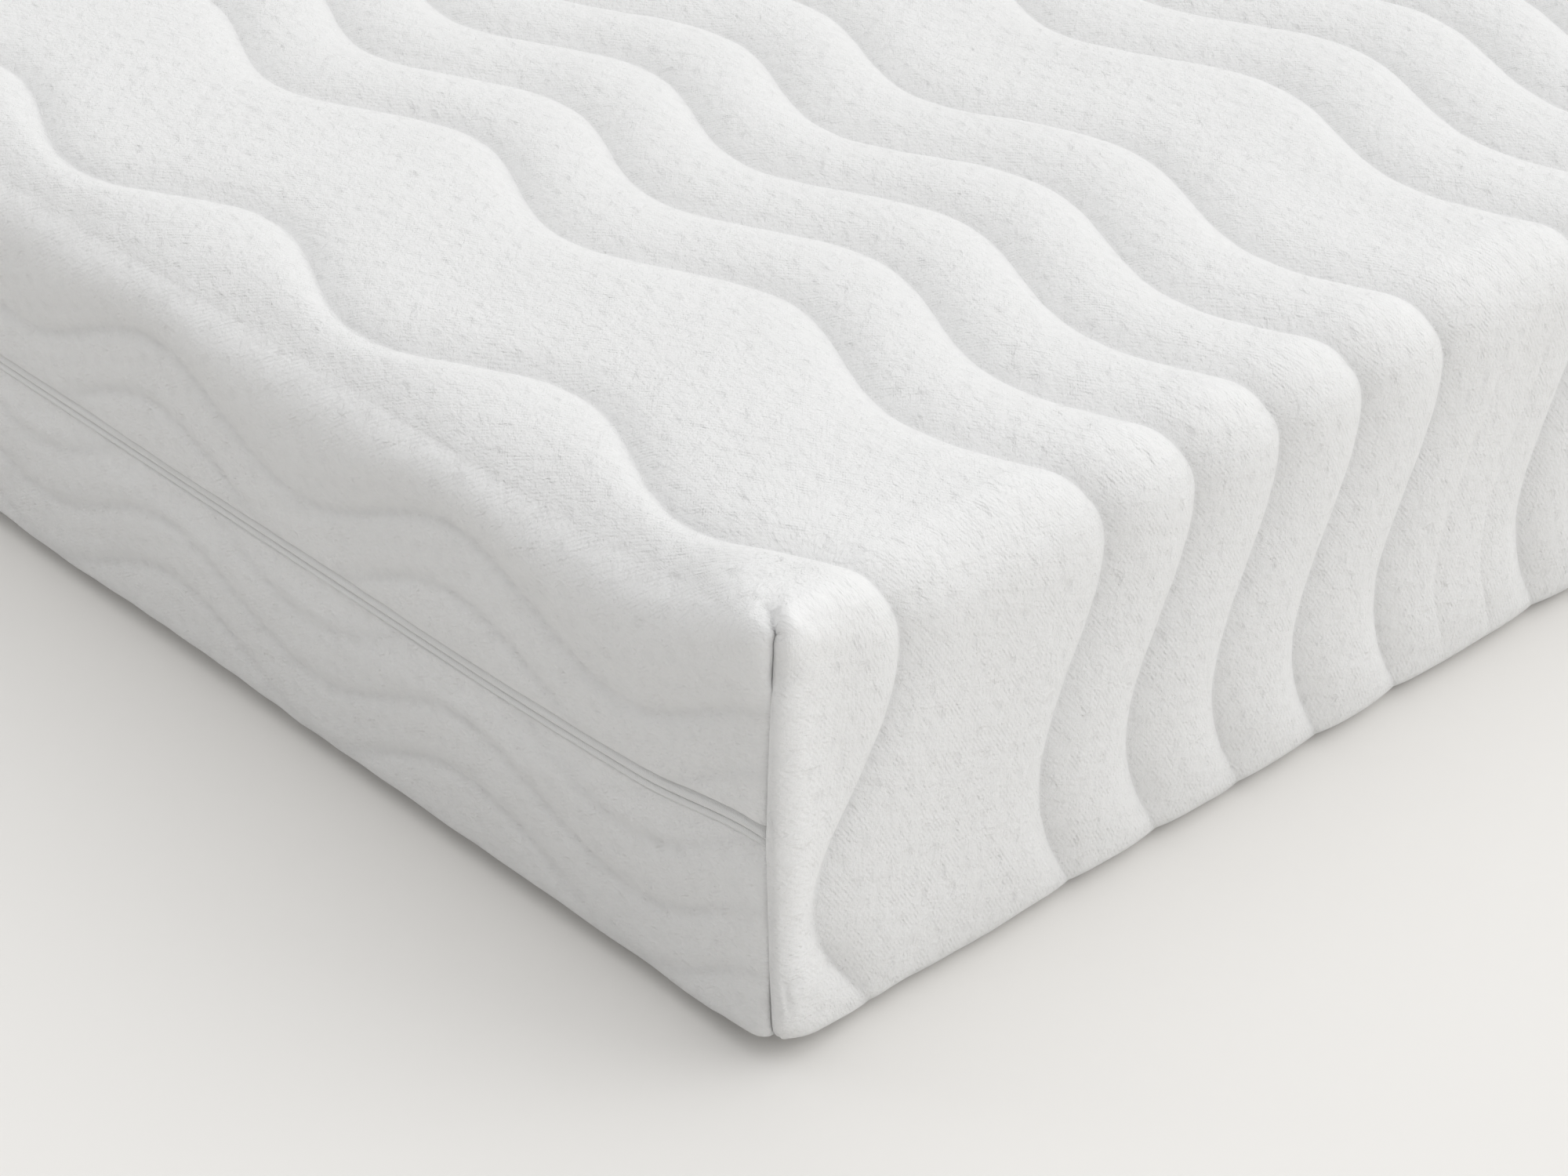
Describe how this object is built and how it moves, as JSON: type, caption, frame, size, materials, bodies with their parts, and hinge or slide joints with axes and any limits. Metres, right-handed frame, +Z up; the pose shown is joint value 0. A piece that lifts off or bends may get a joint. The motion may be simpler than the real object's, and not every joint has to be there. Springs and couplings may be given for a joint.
{
  "type": "memory foam mattress",
  "caption": "Memory foam mattress: a layered foam core in a knitted sleeve, inside a quilted removable cover that opens with a zip round its sides and one end.",
  "frame": {"origin": "centre of the underside, at floor level", "axes": "+X along the length, towards the closed end of the cover; +Y across the width, towards the side where the zip slider parks; +Z up"},
  "size_m": [2, 0.9, 0.18],
  "materials": {
    "ticking": "matt double jersey knit",
    "wadding": "soft polyester fibre",
    "backing": "thin spunbonded cloth",
    "seam": "folded knit",
    "sleeve_knit": "thin stockinette",
    "memory_foam": "open-cell foam, matt",
    "support_foam": "open-cell foam, matt",
    "zip_tape": "woven tape",
    "zip_coil": "moulded coil, slight sheen",
    "zip_metal": "cast, satin"
  },
  "bodies": {
    "mattress": {"memory_foam_layer": "memory_foam", "support_foam_core": "support_foam", "core_sleeve": "sleeve_knit", "lower_cover_ticking": "ticking", "lower_cover_wadding": "wadding", "lower_cover_backing": "backing", "lower_corner_seams": "seam", "lower_zip_tape": "zip_tape", "lower_zip_coil": "zip_coil", "lower_zip_stops": "zip_metal"},
    "cover_top": {"upper_cover_ticking": "ticking", "upper_cover_wadding": "wadding", "upper_cover_backing": "backing", "upper_corner_seams": "seam", "upper_zip_tape": "zip_tape", "upper_zip_coil": "zip_coil", "upper_zip_stops": "zip_metal"},
    "zip_slider": {"zip_slider_body": "zip_metal", "zip_slider_bridge": "zip_metal"},
    "zip_pull": {"zip_pull_tab": "zip_metal"}
  },
  "joints": [
    {"name": "cover_opening", "type": "hinge", "parent": "mattress", "child": "cover_top", "pos_m": [1.0003, 0, 0.09], "axis": [0, 1, 0], "range_deg": [0, 180]},
    {"name": "zip_travel", "type": "slide", "parent": "mattress", "child": "zip_slider", "axis": [-1, 0, 0], "range_m": [0, 1.86]},
    {"name": "pull_tab_swing", "type": "hinge", "parent": "zip_slider", "child": "zip_pull", "pos_m": [0.96, 0.44775, 0.09], "axis": [0, 0, -1], "range_deg": [0, 180]}
  ]
}
